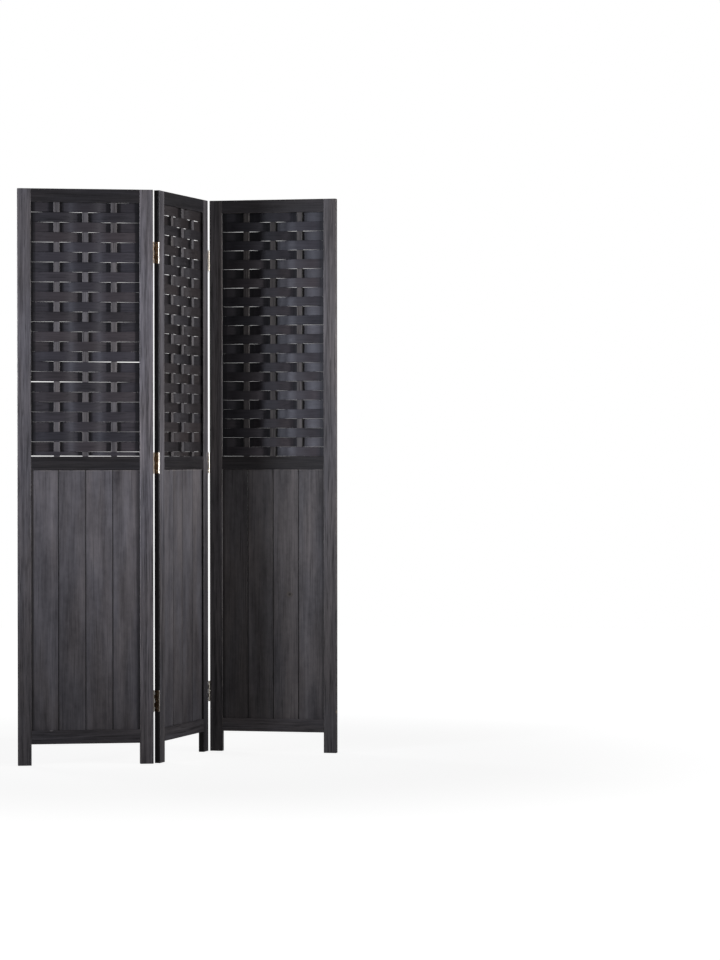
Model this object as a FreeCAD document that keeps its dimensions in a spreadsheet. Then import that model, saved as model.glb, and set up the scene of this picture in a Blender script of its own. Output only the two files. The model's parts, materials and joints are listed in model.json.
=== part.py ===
import FreeCAD, Part
import math
import os
import re
import Sketcher

# Driving sizes of the folding screen, in millimetres, with angles in degrees and plain counts
driving_sizes = [
    ("panel_width", 400),
    ("panel_height", 1700),
    ("panel_thick", 17),
    ("stile_width", 40),
    ("rail_height", 40),
    ("foot_height", 62.5),
    ("middle_rail_level", 871),
    ("edge_round", 1.5),
    ("fit_gap", 0.1),
    ("hole_spare", 0.5),
    ("groove_depth", 7),
    ("groove_spare", 1),
    ("board_count", 4),
    ("board_thick", 6),
    ("board_gap", 0.2),
    ("board_bevel", 1.2),
    ("tongue_thick", 2),
    ("tongue_length", 4),
    ("batten_width", 17.5),
    ("batten_thick", 8),
    ("batten_spacing", 84.4),
    ("batten_round", 1),
    ("tenon_length", 10),
    ("row_count", 25),
    ("slat_gap", 0.2),
    ("strip_height", 12.2),
    ("strip_slit", 1.8),
    ("tight_row_count", 26),
    ("tight_slat_gap", 0.1),
    ("tight_slit", 0.8),
    ("slat_thick", 2.6),
    ("slat_seat", 12),
    ("dowel_radius", 4),
    ("dowel_length", 30),
    ("dowel_spacing", 16),
    ("dowel_bevel", 1),
    ("hinge_height", 63),
    ("hinge_inset", 185),
    ("hinge_gap", 3.6),
    ("leaf_thick", 1.3),
    ("leaf_margin", 0.5),
    ("barrel_radius", 2.5),
    ("barrel_offset", 2),
    ("knuckle_count", 5),
    ("knuckle_gap", 0.3),
    ("pin_radius", 1.3),
    ("turning_gap", 0.05),
    ("screw_length", 14),
    ("screw_spacing", 22.5),
    ("head_radius", 2.9),
    ("shank_radius", 1.5),
    ("tip_radius", 0.3),
    ("tip_length", 4),
    ("recess_span", 3.4),
    ("recess_width", 0.9),
    ("recess_depth", 1),
    ("left_fold_angle", 63),
    ("right_fold_angle", 83.5),
]

doc = FreeCAD.newDocument("folding_screen")
sheet = doc.addObject("Spreadsheet::Sheet", "sizes")
for row, (alias, value) in enumerate(driving_sizes, start=1):
    sheet.set("A%d" % row, alias)
    sheet.set("B%d" % row, str(value))
    sheet.setAlias("B%d" % row, alias)
doc.recompute()
size = {alias: float(sheet.get(alias)) for alias, value in driving_sizes}

# Lengths that several pieces share, written from the driving sizes
field_width = "(panel_width - 2 * stile_width)"
half_thick = "panel_thick / 2"
groove_width = "(board_thick + 2 * fit_gap)"
board_reach = "(groove_depth - groove_spare)"
board_base = "(foot_height + rail_height - groove_depth + groove_spare)"
board_length = "(middle_rail_level - foot_height - rail_height + 2 * (groove_depth - groove_spare))"
weave_base = "(middle_rail_level + rail_height)"
weave_height = "(panel_height - middle_rail_level - 2 * rail_height)"
rail_levels = ["foot_height", "middle_rail_level", "(panel_height - rail_height)"]
hinge_centres = ["hinge_inset", "(middle_rail_level + rail_height / 2)", "(panel_height - hinge_inset)"]
knuckle_pitch = "(hinge_height + knuckle_gap) / knuckle_count"
up = FreeCAD.Vector(0, 0, 1)


def bound(formula):
    return re.sub(r"[a-z]+(?:_[a-z]+)+", lambda found: "sizes." + found.group(0), formula)


def bind(thing, **formulas):
    for name, formula in formulas.items():
        thing.setExpression(name.replace("__", "."), bound(formula))


# Sketches and features of a body

def new_body(label):
    body = doc.addObject("PartDesign::Body", label)
    body.Label = label
    return body


def new_sketch(body, role, offset):
    sketch = body.newObject("Sketcher::SketchObject", "profile")
    planes = [feature for feature in body.Origin.OriginFeatures if feature.Role == role]
    sketch.AttachmentSupport = (planes[0], "")
    sketch.MapMode = "FlatFace"
    bind(sketch, AttachmentOffset__Base__z=offset)
    return sketch


def dimension(sketch, constraint, formula):
    index = sketch.addConstraint(constraint)
    sketch.setExpression("Constraints[%d]" % index, bound(formula))


def draw_rectangle(sketch, left, low, width, height):
    corners = [FreeCAD.Vector(0, 0), FreeCAD.Vector(1, 0), FreeCAD.Vector(1, 1), FreeCAD.Vector(0, 1)]
    lines = []
    for start, end in zip(corners, corners[1:] + corners[:1]):
        lines.append(sketch.addGeometry(Part.LineSegment(start, end)))
    for line, following in zip(lines, lines[1:] + lines[:1]):
        sketch.addConstraint(Sketcher.Constraint("Coincident", line, 2, following, 1))
    for line in lines[0::2]:
        sketch.addConstraint(Sketcher.Constraint("Horizontal", line))
    for line in lines[1::2]:
        sketch.addConstraint(Sketcher.Constraint("Vertical", line))
    dimension(sketch, Sketcher.Constraint("DistanceX", -1, 1, lines[0], 1, 1), left)
    dimension(sketch, Sketcher.Constraint("DistanceY", -1, 1, lines[0], 1, 1), low)
    dimension(sketch, Sketcher.Constraint("DistanceX", lines[0], 1, lines[0], 2, 1), width)
    dimension(sketch, Sketcher.Constraint("DistanceY", lines[1], 1, lines[1], 2, 1), height)


def draw_circle(sketch, across, rise, radius):
    ring = sketch.addGeometry(Part.Circle(FreeCAD.Vector(0, 0), up, 1))
    dimension(sketch, Sketcher.Constraint("DistanceX", -1, 1, ring, 3, 1), across)
    dimension(sketch, Sketcher.Constraint("DistanceY", -1, 1, ring, 3, 1), rise)
    dimension(sketch, Sketcher.Constraint("Radius", ring, 1), radius)


def add_pad(body, sketch, length):
    pad = body.newObject("PartDesign::Pad", "pad")
    pad.Profile = sketch
    bind(pad, Length=length)
    doc.recompute()
    return pad


def add_pocket(body, sketch, depth, forward=False):
    pocket = body.newObject("PartDesign::Pocket", "pocket")
    pocket.Profile = sketch
    pocket.Reversed = forward
    bind(pocket, Length=depth)
    return pocket


def edges_of(feature, wanted):
    return ["Edge%d" % number for number, edge in enumerate(feature.Shape.Edges, start=1) if wanted(edge)]


def runs_along(axis):
    return lambda edge: edge.tangentAt(edge.FirstParameter).cross(axis).Length < Part.Precision.confusion()


def add_round(body, feature, names, radius):
    rounding = body.newObject("PartDesign::Fillet", "rounding")
    rounding.Base = (feature, names)
    bind(rounding, Radius=radius)


# Wooden pieces of one panel, drawn in the panel's own frame: X across it, Y from front to back, Z up

def make_stile(label, hinged):
    body = new_body(label)
    outline = new_sketch(body, "XY_Plane", "0")
    draw_rectangle(outline, "0", "0", "stile_width", "panel_thick")
    blank = add_pad(body, outline, "panel_height")
    add_round(body, blank, edges_of(blank, lambda edge: True), "edge_round")
    groove_low = half_thick + " - " + groove_width + " / 2"
    grooves = new_sketch(body, "YZ_Plane", "stile_width")
    board_groove = board_length + " + 2 * groove_spare"
    draw_rectangle(grooves, groove_low, board_base + " - groove_spare", groove_width, board_groove)
    draw_rectangle(grooves, groove_low, weave_base, groove_width, weave_height)
    add_pocket(body, grooves, "groove_depth")
    sockets = new_sketch(body, "YZ_Plane", "stile_width")
    for level in rail_levels:
        for side in ("-", "+"):
            rise = "%s + rail_height / 2 %s dowel_spacing / 2" % (level, side)
            draw_circle(sockets, half_thick, rise, "dowel_radius + turning_gap")
    add_pocket(body, sockets, "dowel_length / 2 + hole_spare")
    if hinged:
        pilots = new_sketch(body, "YZ_Plane", "0")
        for centre in hinge_centres:
            for step in (-1, 0, 1):
                rise = "%s + %d * screw_spacing" % (centre, step)
                draw_circle(pilots, half_thick, rise, "shank_radius + turning_gap")
        add_pocket(body, pilots, "screw_length - leaf_thick + hole_spare", forward=True)
    return body


def make_rail(label, boards_above=False, boards_below=False, battens_above=False, battens_below=False):
    body = new_body(label)
    outline = new_sketch(body, "XY_Plane", "0")
    draw_rectangle(outline, "0", "0", field_width, "panel_thick")
    blank = add_pad(body, outline, "rail_height")
    add_round(body, blank, edges_of(blank, runs_along(FreeCAD.Vector(1, 0, 0))), "edge_round")
    for boarded, level, forward in ((boards_above, "rail_height", False), (boards_below, "0", True)):
        if boarded:
            groove = new_sketch(body, "XY_Plane", level)
            groove_low = half_thick + " - " + groove_width + " / 2"
            draw_rectangle(groove, "0", groove_low, field_width, groove_width)
            add_pocket(body, groove, "groove_depth", forward)
    for woven, level, forward in ((battens_above, "rail_height", False), (battens_below, "0", True)):
        if woven:
            mortises = new_sketch(body, "XY_Plane", level)
            for step in (-1, 0, 1):
                left = "%s / 2 + %d * batten_spacing - batten_width / 2 - fit_gap" % (field_width, step)
                low = half_thick + " - batten_thick / 2 - fit_gap"
                draw_rectangle(mortises, left, low, "batten_width + 2 * fit_gap",
                               "batten_thick + 2 * fit_gap")
            add_pocket(body, mortises, "tenon_length + hole_spare", forward)
    for end, forward in (("0", True), (field_width, False)):
        sockets = new_sketch(body, "YZ_Plane", end)
        for side in ("-", "+"):
            rise = "rail_height / 2 %s dowel_spacing / 2" % side
            draw_circle(sockets, half_thick, rise, "dowel_radius + turning_gap")
        add_pocket(body, sockets, "dowel_length / 2 + hole_spare", forward)
    return body


def make_batten(label):
    body = new_body(label)
    outline = new_sketch(body, "XY_Plane", "-tenon_length")
    draw_rectangle(outline, "-batten_width / 2", "-batten_thick / 2", "batten_width", "batten_thick")
    blank = add_pad(body, outline, weave_height + " + 2 * tenon_length")
    add_round(body, blank, edges_of(blank, runs_along(up)), "batten_round")
    return body


def make_board(label, place, first, last):
    body = new_body(label)
    left = "%d * %s / board_count + board_gap / 2" % (place, field_width)
    right = "%d * %s / board_count - board_gap / 2" % (place + 1, field_width)
    left_edge = "-" + board_reach if first else left
    right_edge = field_width + " + " + board_reach if last else right
    outline = new_sketch(body, "XY_Plane", "0")
    width = "(%s) - (%s)" % (right_edge, left_edge)
    draw_rectangle(outline, left_edge, "-board_thick / 2", width, "board_thick")
    blank = add_pad(body, outline, board_length)
    middle = blank.Shape.BoundBox.Center.x
    upright = runs_along(up)
    bevelled = []
    if not first:
        bevelled += edges_of(blank, lambda edge: upright(edge) and edge.CenterOfMass.x < middle)
    if not last:
        bevelled += edges_of(blank, lambda edge: upright(edge) and edge.CenterOfMass.x > middle)
    bevel = body.newObject("PartDesign::Chamfer", "bevel")
    bevel.Base = (blank, bevelled)
    bind(bevel, Size="board_bevel")
    if not first:
        tongue = new_sketch(body, "XY_Plane", "0")
        draw_rectangle(tongue, left + " - tongue_length", "-tongue_thick / 2",
                       "tongue_length + board_bevel", "tongue_thick")
        add_pad(body, tongue, board_length)
    if not last:
        slot = new_sketch(body, "XY_Plane", "0")
        draw_rectangle(slot, right + " - tongue_length - fit_gap", "-tongue_thick / 2 - fit_gap",
                       "tongue_length + 2 * fit_gap", "tongue_thick + 2 * fit_gap")
        add_pocket(body, slot, board_length, forward=True)
    return body


# Brass pieces and dowels, from primitives

def primitive(kind, place, turn=None, **formulas):
    piece = doc.addObject("Part::" + kind, kind.lower())
    if turn:
        piece.Placement = FreeCAD.Placement(FreeCAD.Vector(0, 0, 0), turn)
    across, deep, rise = place
    bind(piece, Placement__Base__x=across, Placement__Base__y=deep, Placement__Base__z=rise, **formulas)
    return piece


def fuse(name, pieces):
    joined = doc.addObject("Part::MultiFuse", name)
    joined.Shapes = pieces
    return joined


def cut(name, base, tool):
    remains = doc.addObject("Part::Cut", name)
    remains.Base = base
    remains.Tool = tool
    return remains


def make_leaf(name, side, first_knuckle):
    # The pin's axis is the Z axis, and the plate reaches towards the front on the given side of it
    plate_side = "-hinge_gap / 2" if side < 0 else "hinge_gap / 2 - leaf_thick"
    show_side = "leaf_thick - hinge_gap / 2" if side < 0 else "hinge_gap / 2 - leaf_thick"
    plate_end = "(barrel_radius + knuckle_gap)"
    plate_front = "(barrel_offset + panel_thick - leaf_margin)"
    plate = primitive("Box", (plate_side, "-" + plate_front, "0"), Length="leaf_thick",
                      Width=plate_front + " - " + plate_end, Height="hinge_height")
    solid_pieces = [plate]
    for number in range(first_knuckle, int(size["knuckle_count"]), 2):
        low = "%d * %s" % (number, knuckle_pitch)
        tall = knuckle_pitch + " - knuckle_gap"
        solid_pieces.append(primitive("Box", (plate_side, "-" + plate_end, low), Length="leaf_thick",
                                      Width=plate_end, Height=tall))
        solid_pieces.append(primitive("Cylinder", ("0", "0", low), Radius="barrel_radius", Height=tall))
    pin_hole = primitive("Cylinder", ("0", "0", "0"), Radius="pin_radius + turning_gap",
                         Height="hinge_height")
    holes = [pin_hole]
    into_wood = FreeCAD.Rotation(FreeCAD.Vector(0, 1, 0), math.copysign(90, side))
    for step in (-1, 0, 1):
        spot = (show_side, "-barrel_offset - " + half_thick, "hinge_height / 2 + %d * screw_spacing" % step)
        holes.append(primitive("Cone", spot, into_wood, Radius1="head_radius + turning_gap",
                               Radius2="shank_radius + turning_gap", Height="leaf_thick"))
    return cut(name, fuse(name + "_blank", solid_pieces), fuse(name + "_holes", holes))


def make_screw():
    head = primitive("Cone", ("0", "0", "0"), Radius1="head_radius", Radius2="shank_radius",
                     Height="leaf_thick")
    shank_length = "screw_length - tip_length - leaf_thick"
    shank = primitive("Cylinder", ("0", "0", "leaf_thick"), Radius="shank_radius", Height=shank_length)
    tip = primitive("Cone", ("0", "0", "screw_length - tip_length"), Radius1="shank_radius",
                    Radius2="tip_radius", Height="tip_length")
    slots = []
    for span, width in (("recess_span", "recess_width"), ("recess_width", "recess_span")):
        slots.append(primitive("Box", ("-%s / 2" % span, "-%s / 2" % width, "0"), Length=span, Width=width,
                               Height="recess_depth"))
    return cut("screw", fuse("screw_blank", [head, shank, tip]), fuse("screw_recess", slots))


def make_dowel():
    body = primitive("Cylinder", ("0", "0", "-dowel_length / 2 + dowel_bevel"), Radius="dowel_radius",
                     Height="dowel_length - 2 * dowel_bevel")
    low_end = primitive("Cone", ("0", "0", "-dowel_length / 2"), Radius1="dowel_radius - dowel_bevel",
                        Radius2="dowel_radius", Height="dowel_bevel")
    high_end = primitive("Cone", ("0", "0", "dowel_length / 2 - dowel_bevel"), Radius1="dowel_radius",
                         Radius2="dowel_radius - dowel_bevel", Height="dowel_bevel")
    return fuse("dowel", [low_end, body, high_end])


# Woven slats: one bent strip, drawn from above with flat seats and pairs of equal arcs between them

def bend(start, end, offset):
    # Two tangent arcs from one seat to the next, moved sideways by the offset
    length = end.x - start.x
    shift = end.y - start.y
    radius = (length ** 2 + shift ** 2) / abs(4 * shift)
    turn = math.copysign(2 * math.atan2(abs(shift), length), shift)
    first_centre = start + FreeCAD.Vector(0, math.copysign(radius, shift), 0)
    second_centre = end - FreeCAD.Vector(0, math.copysign(radius, shift), 0)
    halves = [(first_centre, start, (0, 1), -1), (second_centre, end, (-1, 0), 1)]
    arcs = []
    for centre, anchor, spread, outward in halves:
        arm = anchor - centre
        arm = arm * (1 + outward * math.copysign(offset, offset * shift) / radius)
        near, far = [share * turn for share in spread]
        points = []
        for angle in (near, (near + far) / 2, far):
            points.append(centre + FreeCAD.Rotation(up, math.degrees(outward * -angle)).multVec(arm))
        arcs.append(Part.Arc(*points).toShape())
    return arcs


def slat_face(outer_front):
    field = size["panel_width"] - 2 * size["stile_width"]
    middle = size["panel_thick"] / 2
    reach = size["groove_depth"] - size["groove_spare"]
    sway = (size["batten_thick"] + size["slat_thick"]) / 2 + size["fit_gap"]
    end_sway = (size["board_thick"] - size["slat_thick"]) / 2
    way = -1 if outer_front else 1
    # The outer battens spring the ends of a slat against the near wall of the grooves
    end_depth = middle + way * end_sway
    stations = [FreeCAD.Vector(-reach, end_depth), FreeCAD.Vector(0, end_depth)]
    for step in (-1, 0, 1):
        centre = field / 2 + step * size["batten_spacing"]
        depth = middle + sway * (way if step else -way)
        for half in (-1, 1):
            stations.append(FreeCAD.Vector(centre + half * size["slat_seat"] / 2, depth))
    stations.append(FreeCAD.Vector(field, end_depth))
    stations.append(FreeCAD.Vector(field + reach, end_depth))
    edges = []
    for offset in (-size["slat_thick"] / 2, size["slat_thick"] / 2):
        shift = FreeCAD.Vector(0, offset, 0)
        for index, (start, end) in enumerate(zip(stations, stations[1:])):
            if index % 2:
                edges += bend(start, end, offset)
            else:
                edges.append(Part.makeLine(start + shift, end + shift))
    half = FreeCAD.Vector(0, size["slat_thick"] / 2, 0)
    for end in (stations[0], stations[-1]):
        edges.append(Part.makeLine(end - half, end + half))
    return Part.Face(Part.Wire(Part.__sortEdges__(edges)))


def make_slats(label, outer_front, odd, weave):
    base = size["middle_rail_level"] + size["rail_height"] + weave["slit"]
    top = size["panel_height"] - size["rail_height"]
    pitch = (top - base - weave["strip"]) / weave["rows"]
    face = slat_face(outer_front)
    rows = []
    for row in range(0 if odd else 1, weave["rows"], 2):
        slat = face.extrude(up * (pitch - weave["gap"]))
        slat.translate(up * (top - (row + 1) * pitch))
        rows.append(slat)
    if weave["strip"] and (weave["rows"] % 2 == 0) == odd:
        strip = face.extrude(up * (weave["strip"] - weave["gap"]))
        strip.translate(up * base)
        rows.append(strip)
    slats = doc.addObject("Part::Feature", label)
    slats.Label = label
    slats.Shape = Part.makeCompound(rows)
    return slats


# Frames of the three panels at rest, each turned about its hinge pins

def follow(parent, parent_spot, child_spot, turn):
    rotation = parent.Rotation.multiply(FreeCAD.Rotation(up, turn))
    return FreeCAD.Placement(parent.multVec(parent_spot) - rotation.multVec(child_spot), rotation)


half_gap = size["hinge_gap"] / 2
far_edge = size["panel_width"] + half_gap
behind = size["panel_thick"] + size["barrel_offset"]
in_front = -size["barrel_offset"]
left_pin_spots = [FreeCAD.Vector(far_edge, behind), FreeCAD.Vector(-half_gap, behind)]
right_pin_spots = [FreeCAD.Vector(far_edge, in_front), FreeCAD.Vector(-half_gap, in_front)]
frames = {"left": FreeCAD.Placement()}
frames["middle"] = follow(frames["left"], *left_pin_spots, size["left_fold_angle"])
frames["right"] = follow(frames["middle"], *right_pin_spots, -size["right_fold_angle"])
corner = FreeCAD.Vector(size["edge_round"], size["edge_round"])
flat_width = size["panel_width"] - 2 * size["edge_round"]
flat_thick = size["panel_thick"] - 2 * size["edge_round"]
spread = Part.makeCompound([])
for frame in frames.values():
    plan = Part.makeBox(flat_width, flat_thick, size["panel_height"], corner)
    plan.Placement = frame.multiply(plan.Placement)
    spread.add(plan)
middle = spread.BoundBox.Center
to_centre = FreeCAD.Placement(FreeCAD.Vector(-middle.x, -middle.y), FreeCAD.Rotation())
for name in frames:
    frames[name] = to_centre.multiply(frames[name])

half_turn = FreeCAD.Rotation(up, 180)
outer_leaf = make_leaf("outer_leaf", -1, 0)
inner_leaf = make_leaf("inner_leaf", 1, 1)
screw = make_screw()
dowel = make_dowel()
pin = primitive("Cylinder", ("0", "0", "0"), Radius="pin_radius", Height="hinge_height")
doc.recompute()
nodes = []


def place_piece(piece, frame, spot, turn=FreeCAD.Rotation()):
    piece.Placement = frame.multiply(FreeCAD.Placement(spot, turn))
    nodes.append(piece)


def add_group(label, shape, frame, places):
    group = doc.addObject("Part::Feature", label)
    group.Label = label
    copies = []
    for place in places:
        copy = shape.copy()
        copy.Placement = place.multiply(shape.Placement)
        copies.append(copy)
    group.Shape = Part.makeCompound(copies)
    group.Placement = frame
    nodes.append(group)


# The three panels
hinged_sides = {"left": ("right",), "middle": ("left", "right"), "right": ("left",)}
rail_lows = {
    "bottom": size["foot_height"],
    "middle": size["middle_rail_level"],
    "top": size["panel_height"] - size["rail_height"],
}
rail_joints = {
    "bottom": {"boards_above": True},
    "middle": {"boards_below": True, "battens_above": True},
    "top": {"battens_below": True},
}
# The right panel's rows lie closer, so that one more fits in place of the narrow strip
open_weave = {
    "rows": int(size["row_count"]),
    "gap": size["slat_gap"],
    "slit": size["strip_slit"],
    "strip": size["strip_height"],
}
tight_weave = {
    "rows": int(size["tight_row_count"]),
    "gap": size["tight_slat_gap"],
    "slit": size["tight_slit"],
    "strip": 0,
}
weaves = {"left": open_weave, "middle": open_weave, "right": tight_weave}
field_size = size["panel_width"] - 2 * size["stile_width"]
field_frame = FreeCAD.Placement(FreeCAD.Vector(size["stile_width"], 0, 0), FreeCAD.Rotation())
middle_depth = size["panel_thick"] / 2
for name, frame in frames.items():
    panel = name + "_panel_"
    inner = frame.multiply(field_frame)
    left_stile = make_stile(panel + "left_stile", "left" in hinged_sides[name])
    place_piece(left_stile, frame, FreeCAD.Vector(0, 0, 0))
    right_stile = make_stile(panel + "right_stile", "right" in hinged_sides[name])
    place_piece(right_stile, frame, FreeCAD.Vector(size["panel_width"], size["panel_thick"], 0), half_turn)
    for rail_name, low in rail_lows.items():
        rail = make_rail(panel + rail_name + "_rail", **rail_joints[rail_name])
        place_piece(rail, inner, FreeCAD.Vector(0, 0, low))
    weave_low = size["middle_rail_level"] + size["rail_height"]
    for step, batten_name in ((-1, "left"), (0, "centre"), (1, "right")):
        batten = make_batten(panel + batten_name + "_batten")
        across = field_size / 2 + step * size["batten_spacing"]
        place_piece(batten, inner, FreeCAD.Vector(across, middle_depth, weave_low))
    odd_in_front = name == "middle"
    odd_slats = make_slats(panel + "odd_slats", odd_in_front, True, weaves[name])
    place_piece(odd_slats, inner, FreeCAD.Vector(0, 0, 0))
    even_slats = make_slats(panel + "even_slats", not odd_in_front, False, weaves[name])
    place_piece(even_slats, inner, FreeCAD.Vector(0, 0, 0))
    board_low = size["foot_height"] + size["rail_height"] - size["groove_depth"] + size["groove_spare"]
    last_board = int(size["board_count"]) - 1
    for place in range(last_board + 1):
        board = make_board(panel + "board_%d" % (place + 1), place, place == 0, place == last_board)
        place_piece(board, inner, FreeCAD.Vector(0, middle_depth, board_low))
    dowel_places = []
    for low in rail_lows.values():
        for side in (-1, 1):
            rise = low + (size["rail_height"] + side * size["dowel_spacing"]) / 2
            for across in (0, field_size):
                spot = FreeCAD.Vector(across, middle_depth, rise)
                dowel_places.append(FreeCAD.Placement(spot, FreeCAD.Rotation(FreeCAD.Vector(0, 1, 0), 90)))
    add_group(panel + "dowels", dowel.Shape, inner, dowel_places)

# The two joints: the leaves with the end knuckles and the pins go with the outer panels
hinge_lows = []
for centre in (size["hinge_inset"], rail_lows["middle"] + size["rail_height"] / 2,
               size["panel_height"] - size["hinge_inset"]):
    hinge_lows.append(centre - size["hinge_height"] / 2)
joint_sides = [
    ("left_joint_left", "left", left_pin_spots[0], outer_leaf, -1, FreeCAD.Rotation()),
    ("left_joint_right", "middle", left_pin_spots[1], inner_leaf, 1, FreeCAD.Rotation()),
    ("right_joint_left", "middle", right_pin_spots[0], inner_leaf, 1, half_turn),
    ("right_joint_right", "right", right_pin_spots[1], outer_leaf, -1, half_turn),
]
for label, name, pin_spot, leaf, side, turn in joint_sides:
    hinge_places = []
    for low in hinge_lows:
        hinge_places.append(FreeCAD.Placement(pin_spot + up * low, turn))
    add_group(label + "_leaves", leaf.Shape, frames[name], hinge_places)
    if leaf is outer_leaf:
        add_group(label.rsplit("_", 1)[0] + "_pins", pin.Shape, frames[name], hinge_places)
    into_wood = FreeCAD.Rotation(FreeCAD.Vector(0, 1, 0), math.copysign(90, side))
    show_side = side * (half_gap - size["leaf_thick"])
    screw_places = []
    for hinge_place in hinge_places:
        for step in (-1, 0, 1):
            rise = size["hinge_height"] / 2 + step * size["screw_spacing"]
            spot = FreeCAD.Vector(show_side, in_front - middle_depth, rise)
            screw_places.append(hinge_place.multiply(FreeCAD.Placement(spot, into_wood)))
    add_group(label + "_screws", screw.Shape, frames[name], screw_places)

doc.recompute()
for thing in doc.Objects:
    if "Invalid" in thing.State or "Error" in thing.State:
        raise RuntimeError("%s failed: %s" % (thing.Name, thing.State))
    if thing.TypeId == "PartDesign::Pocket" and thing.Shape.Volume >= thing.BaseFeature.Shape.Volume:
        raise RuntimeError("%s cuts nothing" % thing.Name)
for node in nodes:
    if node.Shape.isNull() or not node.Shape.isValid():
        raise RuntimeError("%s has no sound shape" % node.Label)
os.makedirs("parts", exist_ok=True)
for node in nodes:
    node.Shape.exportStep("parts/%s.step" % node.Label)
print("%d nodes, %d solids" % (len(nodes), sum(len(node.Shape.Solids) for node in nodes)))
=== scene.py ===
import json
import math
import random
import bpy
from mathutils import Matrix, Vector


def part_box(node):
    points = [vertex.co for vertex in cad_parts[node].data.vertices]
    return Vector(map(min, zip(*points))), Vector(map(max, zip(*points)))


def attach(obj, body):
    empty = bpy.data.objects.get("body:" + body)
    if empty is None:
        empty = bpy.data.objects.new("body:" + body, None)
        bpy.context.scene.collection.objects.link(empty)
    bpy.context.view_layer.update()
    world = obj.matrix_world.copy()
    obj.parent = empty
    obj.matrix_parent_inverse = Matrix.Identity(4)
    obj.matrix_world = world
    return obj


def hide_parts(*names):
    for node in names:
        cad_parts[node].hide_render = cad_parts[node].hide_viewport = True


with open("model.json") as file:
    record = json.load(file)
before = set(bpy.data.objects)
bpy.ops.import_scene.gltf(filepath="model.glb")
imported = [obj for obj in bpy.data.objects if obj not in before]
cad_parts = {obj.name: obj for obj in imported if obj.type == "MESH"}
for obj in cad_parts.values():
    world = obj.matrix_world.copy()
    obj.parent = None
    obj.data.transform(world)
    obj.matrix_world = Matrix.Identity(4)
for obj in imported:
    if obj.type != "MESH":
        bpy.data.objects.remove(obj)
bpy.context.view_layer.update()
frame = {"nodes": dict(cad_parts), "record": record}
sides = ("left", "middle", "right")
print("frame loaded:", len(frame["nodes"]), "pieces")

# Shared sizes, read from the left panel, which stands square in the frame
stileLow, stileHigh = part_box("left_panel_left_stile")
stileWidth = stileHigh.x - stileLow.x
panelThick = stileHigh.y - stileLow.y
panelTall = stileHigh.z - stileLow.z
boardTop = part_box("left_panel_middle_rail")[0].z
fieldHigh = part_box("left_panel_top_rail")[0].z
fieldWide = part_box("left_panel_right_stile")[0].x - stileHigh.x
battenLow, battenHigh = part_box("left_panel_centre_batten")
battenWide = battenHigh.x - battenLow.x
battenThick = battenHigh.y - battenLow.y
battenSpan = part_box("left_panel_right_batten")[0].x - battenLow.x
boardCount = 4
boardPitch = fieldWide / boardCount
panelHalf = stileWidth + fieldWide / 2


def panelPlace(side):
    # Each panel's own axes: across, front to back, up, from its front left foot
    feet = {mount["name"]: Vector(mount["pos_m"]) for mount in frame["record"]["mounts"]}
    nearFoot = feet[side + "_panel_left_foot"]
    across = feet[side + "_panel_right_foot"] - nearFoot
    turned = Matrix.Rotation(math.atan2(across.y, across.x), 4, "Z")
    return Matrix.Translation(nearFoot) @ turned @ Matrix.Translation((-stileWidth / 2, -panelThick / 2, 0))


places = {side: panelPlace(side) for side in sides}


def localBox(name, side):
    unplace = places[side].inverted()
    corners = [unplace @ vertex.co for vertex in frame["nodes"][name].data.vertices]
    low = Vector([min(corner[k] for corner in corners) for k in range(3)])
    high = Vector([max(corner[k] for corner in corners) for k in range(3)])
    return low, high


# Node helpers, for shader and geometry trees alike
def addNode(tree, kind, values=None, **settings):
    made = tree.nodes.new(kind)
    for key, value in settings.items():
        setattr(made, key, value)
    for key, value in (values or {}).items():
        if isinstance(value, bpy.types.NodeSocket):
            tree.links.new(value, made.inputs[key])
        else:
            made.inputs[key].default_value = value
    return made


def calc(tree, operation, *values, clamp=False):
    made = addNode(tree, "ShaderNodeMath", dict(enumerate(values)), operation=operation, use_clamp=clamp)
    return made.outputs[0]


def split(tree, vector):
    return addNode(tree, "ShaderNodeSeparateXYZ", {0: vector}).outputs


def vectorCalc(tree, operation, *values):
    return addNode(tree, "ShaderNodeVectorMath", dict(enumerate(values)), operation=operation).outputs


def ease(tree, value, start, end, low=0.0, high=1.0):
    values = {"Value": value, "From Min": start, "From Max": end, "To Min": low, "To Max": high}
    return addNode(tree, "ShaderNodeMapRange", values, interpolation_type="SMOOTHSTEP").outputs[0]


def noise(tree, vector, seed, scale, detail, roughness):
    # A look holds the last three together: scale along X, Y and Z, detail, roughness
    stretched = vectorCalc(tree, "MULTIPLY", vector, scale)[0]
    values = {"Vector": stretched, "W": seed, "Scale": 1.0, "Detail": detail, "Roughness": roughness}
    return addNode(tree, "ShaderNodeTexNoise", values, noise_dimensions="4D").outputs["Fac"]


def sway(tree, level, value, share):
    # Moves a level up or down by a share of how far a noise lies from its middle
    return calc(tree, "MULTIPLY_ADD", calc(tree, "SUBTRACT", value, 0.5), share, level)


def blendColour(tree, amount, first, second, kind="MIX"):
    made = addNode(tree, "ShaderNodeMix", data_type="RGBA", blend_type=kind)
    for socket, value in ((0, amount), (6, first), (7, second)):
        if isinstance(value, bpy.types.NodeSocket):
            tree.links.new(value, made.inputs[socket])
        else:
            made.inputs[socket].default_value = value
    return made.outputs[2]


def newGroup(name, kind, inlets, outlets):
    tree = bpy.data.node_groups.new(name, kind)
    for label, socket in inlets:
        tree.interface.new_socket(label, in_out="INPUT", socket_type="NodeSocket" + socket)
    for label, socket in outlets:
        tree.interface.new_socket(label, in_out="OUTPUT", socket_type="NodeSocket" + socket)
    return tree, tree.nodes.new("NodeGroupInput").outputs, tree.nodes.new("NodeGroupOutput").inputs


def tone(red, green, blue):
    return (red, green, blue, 1.0)


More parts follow.
